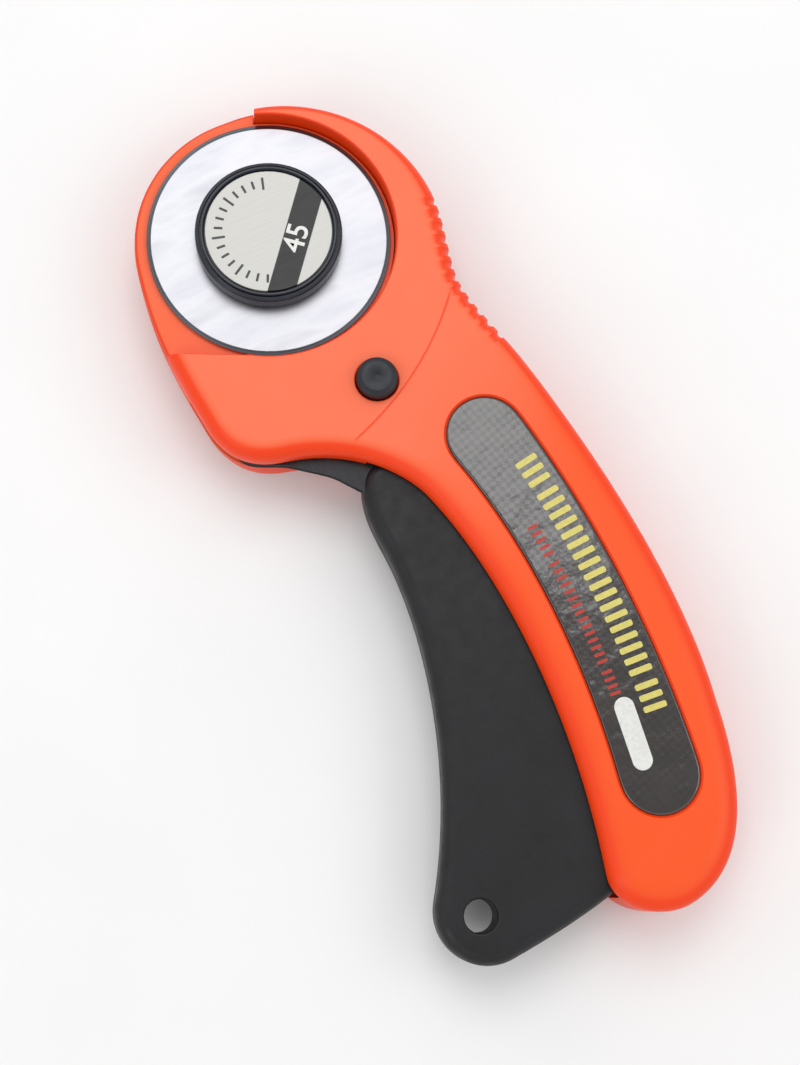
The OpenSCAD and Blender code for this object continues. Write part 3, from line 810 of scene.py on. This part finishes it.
def lever_plate():
    soft = 0.25
    rings = [(inset(PLATE, soft), PLATE_LOW), (PLATE, PLATE_LOW + soft),
             (PLATE, PLATE_TOP - soft), (inset(PLATE, soft), PLATE_TOP)]
    # a slot for the lock's stem, as long as the lever's turn, then the hub's and the bush's holes
    openings = [circle(turned([LOCK], -SQUEEZE * i / 12)[0], STEM_R + 0.25, 48) for i in range(13)]
    openings += [circle((0, 0), HUB_R, 48), circle(PIVOT, 3.5, 48)]
    return cut(loft(rings), *[slab(line, PLATE_LOW - 1, PLATE_TOP + 1) for line in openings])


def inlay():
    low, high = level("label_plate", 0), level("label_plate", 1)
    return crowned_top(inset(INLAY, 0.17), 0.5, 0.3, low, high, 5)


def along_inlay(share, across):
    """Point on the inlay: share runs from its top to its bottom, across from its left edge."""
    left = bezier([(12.2, -52.3), (18.2, -74), (16.5, -100), (13, -117.2)], 100)
    right = bezier([(26.6, -49.7), (30.6, -72), (31, -96), (27.4, -119.8)], 100)
    i = min(98, int(share * 99))
    p = left[i].lerp(right[i], across)
    q = left[i + 1].lerp(right[i + 1], across)
    return p, (q - p).normalized()


def bar(centre, way, length, width, low, high):
    """Small printed bar with round corners, its length across the way."""
    side = Vector((-way.y, way.x))
    r = min(length, width) * 0.3
    corners = []
    for a, b in ((-1, -1), (1, -1), (1, 1), (-1, 1)):
        p = centre + side * a * length / 2 + way * b * width / 2
        corners.append((p.x, p.y, r))
    return slab(rounded(corners, 3), low, high)


def inlay_marks(across, start, end, count, length, width):
    """Row of plain bars along the inlay."""
    low = level("label_plate", 1) - INK_SINK
    bars = []
    for i in range(count):
        p, way = along_inlay(start + (end - start) * i / (count - 1), across)
        bars.append(bar(p, way, length, width, low, low + INK_HIGH))
    return joined(bars)


def inlay_oval():
    """Plain oval field near the bottom of the inlay."""
    low = level("label_plate", 1) - INK_SINK
    r, straight, n = 1.8, 4.8, 48
    p, way = along_inlay(0.885, 0.34)
    side = Vector((-way.y, way.x))
    line = []
    for i in range(n):
        a = 2 * pi * (i + 0.5) / n
        end = straight * (1 if cos(a) > 0 else -1)
        line.append(p + way * (end + r * cos(a)) + side * r * sin(a))
    return slab(line, low, low + INK_HIGH)


def blade():
    """Flat disc up to the start of the ground edge."""
    r, bore = BLADE_R - BEVEL, HUB_R + 0.1
    return lathe([(bore, BLADE_LOW), (r, BLADE_LOW), (r, BLADE_TOP), (bore, BLADE_TOP)], n=180)


def blade_edge():
    r, mid, keen = BLADE_R, (BLADE_LOW + BLADE_TOP) / 2, 0.02
    return lathe([(r - BEVEL, BLADE_LOW), (r, mid - keen), (r, mid + keen), (r - BEVEL, BLADE_TOP)],
                 n=180)


def nut_knob():
    r, bore, hollow = NUT_R, 5, 14.6
    profile = [(bore, hollow), (r - 3, hollow), (r - 2.6, NUT_LOW), (r - 0.9, NUT_LOW),
               (r - 0.35, NUT_LOW + 0.2), (r, NUT_LOW + 0.6), (r, NUT_TOP - 1.3)]
    # broad outer ring, fine groove, then the inner ring that slopes down to the disc
    profile += [(r - 0.5 * (1 - cos(a)), NUT_TOP - 1.3 + 0.9 * sin(a)) for a in quarter(6)[1:]]
    profile += [(r - 0.75, NUT_TOP - 0.36), (r - 0.85, NUT_TOP - 0.75), (r - 0.95, NUT_TOP - 0.75)]
    profile += [(r - 1.2 + 0.2 * cos(a), NUT_TOP - 0.2 + 0.2 * sin(a)) for a in quarter(5)]
    profile += [(r - 1.45, NUT_TOP - 0.06), (DISC_R + 0.25, NUT_TOP - 0.5),
                (DISC_R + 0.2, NUT_TOP - 0.8), (bore, NUT_TOP - 0.8)]
    return lathe(profile, n=160)


def nut_disc():
    low, high, r, soft = level("nut_disc", 0), level("nut_disc", 1), DISC_R, 0.12
    profile = [(0, low), (r, low), (r, high - soft)]
    profile += [(r - soft * (1 - cos(a)), high - soft * (1 - sin(a))) for a in quarter(3)[1:]]
    return lathe(profile + [(0, high)], n=160)


def number():
    """The blade's size, read up along the stripe."""
    curve = bpy.data.curves.new("number", "FONT")
    curve.body = "45"
    curve.size = 5.6
    curve.extrude = 0.03
    curve.offset = 0.055
    curve.align_x = "CENTER"
    curve.align_y = "CENTER"
    holder = bpy.data.objects.new("number", curve)
    bpy.context.scene.collection.objects.link(holder)
    mesh = bpy.data.meshes.new_from_object(holder.evaluated_get(bpy.context.evaluated_depsgraph_get()))
    bpy.data.objects.remove(holder)
    angle = atan2(STRIPE_WAY.y, STRIPE_WAY.x)
    mesh.transform(Matrix.Translation((STRIPE_AT.x, STRIPE_AT.y, level("nut_disc", 1)))
                   @ Matrix.Rotation(angle, 4, "Z"))
    return mesh


def disc_marks():
    """Ring of plain ticks, like a scale, on the left of the disc."""
    low = level("nut_disc", 1) - INK_SINK
    start, pitch, r = 72, 11.5, 9.2
    bars = []
    for i in range(16):
        angle = radians(start + pitch * i)
        way = Vector((-sin(angle), cos(angle)))
        centre = r * Vector((cos(angle), sin(angle)))
        bars.append(bar(centre, way, 1.6 if i % 4 else 2.4, 0.45, low, low + INK_HIGH))
    return joined(bars)


def lock_button():
    """Cap with a bevelled rim and a shallow dish, on its stem with two detent grooves."""
    low, top = level("lock_button", 0), BUTTON_TOP
    profile = [(0, low), (STEM_R - 0.3, low), (STEM_R, low + 0.3)]
    for z in (9.1, 11.3):
        profile += [(STEM_R, z - 0.45), (STEM_R - 0.42, z), (STEM_R, z + 0.45)]
    profile += [(STEM_R, top - 3.4), (CAP_R - 0.2, top - 3.4), (CAP_R, top - 3.2), (CAP_R, top - 0.8)]
    profile += [(CAP_R - 0.4 * (1 - cos(a)), top - 0.8 + 0.5 * sin(a)) for a in quarter(5)[1:]]
    profile += [(3, top - 0.04), (2.6, top), (0.8, top), (0.6, top - 0.1), (0, top - 0.12)]
    return lathe(profile, LOCK, 96)


def lock_rear_cap():
    low, high = level("lock_rear_cap", 0), level("lock_rear_cap", 1)
    bore, r = STEM_R + 0.02, 3.2
    return lathe([(bore, low), (r - 0.3, low), (r, low + 0.3), (r, high), (bore, high)], LOCK, 64)


def screw(x, y, low):
    """Pan-head screw with a cross recess, its head in the back of the shell."""
    tip, head, shank = FRONT - 2.4, 2.4, 1.2
    profile = [(0, low), (0.8, low + 0.02), (1.6, low + 0.15), (2.15, low + 0.45), (head, low + 0.9),
               (head, low + 1.6), (shank, low + 1.65), (shank, tip - 0.2), (0.6, tip), (0, tip)]
    arm, half = 1.3, 0.3
    quadrant = [(arm, -half), (arm, half), (half, half)]
    corners = []
    for _ in range(4):
        corners += [(x + a, y + b, 0.1) for a, b in quadrant]
        quadrant = [(-b, a) for a, b in quadrant]
    cross = slab(rounded(corners, 3), low - 1, low + 0.95)
    return cut(lathe(profile, (x, y), 48), cross)


def blade_bolt():
    """Bolt with a low domed head that has a driving slot, seen through the window in the back."""
    low, high, hub_top = level("blade_bolt", 0), level("blade_bolt", 1), BLADE_TOP + 0.15
    head, thread = 6.5, 2.95
    profile = [(0, low), (4.2, low), (5.8, low + 0.25), (head, low + 0.9), (head, PLATE_LOW),
               (HUB_R, PLATE_LOW), (HUB_R, hub_top), (thread, hub_top), (thread, high - 0.3),
               (thread - 0.35, high), (0, high)]
    slot_cut = slab(rounded([(-4, -0.6, 0.3), (4, -0.6, 0.3), (4, 0.6, 0.3), (-4, 0.6, 0.3)], 4),
                    low - 1, low + 0.8)
    return cut(lathe(profile, n=96), slot_cut)


def pivot_pin():
    low, high = level("pivot_pin", 0), level("pivot_pin", 1)
    profile = [(0, low), (2.4, low), (3.2, low + 0.15), (PIN_HEAD_R, low + 0.45),
               (PIN_HEAD_R, low + 0.8), (PIN_R, low + 0.8), (PIN_R, high - 0.3), (PIN_R - 0.3, high),
               (0, high)]
    return lathe(profile, PIVOT, 64)


piece("front_casing", front_shell(), ORANGE, "frame", "shell_front", "front_shell")
piece("back_casing", back_shell(), ORANGE_BACK_SHADED, "frame", "shell_back", "back_shell")
piece("inlay_film", inlay(), FILM, "frame", "inlay", "label_plate")
piece("inlay_bars_yellow", inlay_marks(0.71, 0.13, 0.84, 24, 4.3, 1.1), INK_YELLOW, "frame", "inlay")
piece("inlay_bars_red", inlay_marks(0.3, 0.28, 0.76, 24, 2.0, 0.6), INK_RED, "frame", "inlay")
piece("inlay_oval", inlay_oval(), INK_WHITE, "frame", "inlay")
piece("squeeze_grip", lever_grip(), GRIP_BLACK, "lever", "grip", "lever_grip")
piece("lever_arm", lever_plate(), BLACK_STEEL, "lever", "lever_steel", "lever_plate")
piece("blade_bolt_turned", blade_bolt(), BRIGHT_STEEL, "lever", "steel", "blade_bolt")
piece("blade_disc", blade(), BLADE_STEEL, "blade", "blade_steel", "blade")
piece("blade_ground_edge", blade_edge(), EDGE_STEEL_PAINTED_SHADE, "blade", "blade_steel", sharp=60)
piece("nut_ring", nut_knob(), NUT_BLACK, "nut", "knob", "nut_knob", sharp=40)
piece("nut_face", nut_disc(), DISC_LABEL, "nut", "face_plate", "nut_disc")
piece("nut_face_number", number(), INK_WHITE, "nut", "face_plate")
piece("nut_face_ticks", disc_marks(), INK_GREY, "nut", "face_plate")
piece("lock_push_button", lock_button(), BUTTON_BLACK, "lock", "button", "lock_button")
piece("lock_back_cap", lock_rear_cap(), BUTTON_BLACK, "lock", "button", "lock_rear_cap")
piece("pivot_pin_headed", pivot_pin(), BRIGHT_STEEL, "frame", "steel", "pivot_pin")
piece("casing_screws", joined([screw(*s) for s in SCREWS]), SPRING_STEEL, "frame", "steel",
      "shell_screws")

# CAD pieces whose shape is right keep it and get a real finish
FINISHES = {"pivot_bush": BRASS, "nut_insert": BRASS, "pivot_washers": BRIGHT_STEEL,
            "pivot_clip": SPRING_STEEL, "return_spring": SPRING_STEEL, "blade_spacer": BRIGHT_STEEL,
            "wave_washer": SPRING_STEEL, "lock_detent_spring": SPRING_STEEL}
for node, material in FINISHES.items():
    mesh = frame["nodes"][node].data
    mesh.materials.clear()
    mesh.materials.append(material)


# ---- floor, light and camera ----

def studio():
    far = 3
    corners = [(-far, -far, 0), (far, -far, 0), (far, far, 0), (-far, far, 0)]
    floor_mesh = mesh_of(corners, [(0, 1, 2, 3)])
    floor = bpy.data.objects.new("floor", floor_mesh)
    floor.location.z = -0.05 * MM  # just clear of the grip's and the handle's backs
    bpy.context.scene.collection.objects.link(floor)
    # matt white paper, very slightly uneven
    material, tree, shader, place = finish("paper_white")
    cloud = add(tree, "ShaderNodeTexNoise", {"Scale": per(60), "Detail": 3.0}, Vector=place)
    colour = add(tree, "ShaderNodeValToRGB", {"stops": [(0.3, "#f4f4f4"), (0.7, "#f8f8f8")]}, Fac=cloud)
    connect(tree, shader, colour)
    shader.inputs["Roughness"].default_value = 0.9
    floor_mesh.materials.append(material)
    # a broad panel beyond the head, which its flat face mirrors and the handle doesn't, and two fills
    lamps = [("panel", (0.08, 0.27, 0.6), 0.4, 1.05), ("fill_left", (-0.7, -0.2, 0.6), 0.4, 0.8),
             ("fill_right", (0.6, -0.3, 0.6), 0.4, 0.6)]
    for name, place, size, power in lamps:
        light = bpy.data.lights.new(name, "AREA")
        light.size = size
        light.energy = power
        lamp = bpy.data.objects.new(name, light)
        lamp.location = place
        lamp.rotation_euler = (HOME - Vector(place)).to_track_quat("-Z", "Y").to_euler()
        bpy.context.scene.collection.objects.link(lamp)
    world = bpy.data.worlds.new("studio")
    world.use_nodes = True
    tree = world.node_tree
    # brightest half way up, dimmer at the horizon and overhead, so that flats and edges stay deep
    way = add(tree, "ShaderNodeTexCoord").outputs["Generated"]
    height = add(tree, "ShaderNodeSeparateXYZ", Vector=way).outputs["Z"]
    sky = add(tree, "ShaderNodeValToRGB",
              {"stops": [(0.0, 0.3), (0.35, 0.8), (0.75, 1.0), (0.92, 0.5), (1.0, 0.38)]}, Fac=height)
    wire(tree, sky, tree.nodes["Background"].inputs["Color"])
    bpy.context.scene.world = world
    bpy.context.scene.view_settings.view_transform = "Standard"


def camera():
    lens = bpy.data.cameras.new("camera")
    lens.lens = 77.16
    lens.sensor_width = 36
    lens.sensor_fit = "HORIZONTAL"
    lens.clip_start = 0.01
    holder = bpy.data.objects.new("camera", lens)
    bpy.context.scene.collection.objects.link(holder)
    # over the lower left of the tool, with its long axis leaning across the frame
    place = HOME + Vector((-43.129, -109.77, 300.1 + BLADE_TOP)) * MM
    turn = (Matrix.Rotation(-0.13632, 4, "Y") @ Matrix.Rotation(0.16197, 4, "X")
            @ Matrix.Rotation(-0.45188, 4, "Z"))
    holder.matrix_world = Matrix.Translation(place) @ turn
    bpy.context.scene.camera = holder


studio()
camera()
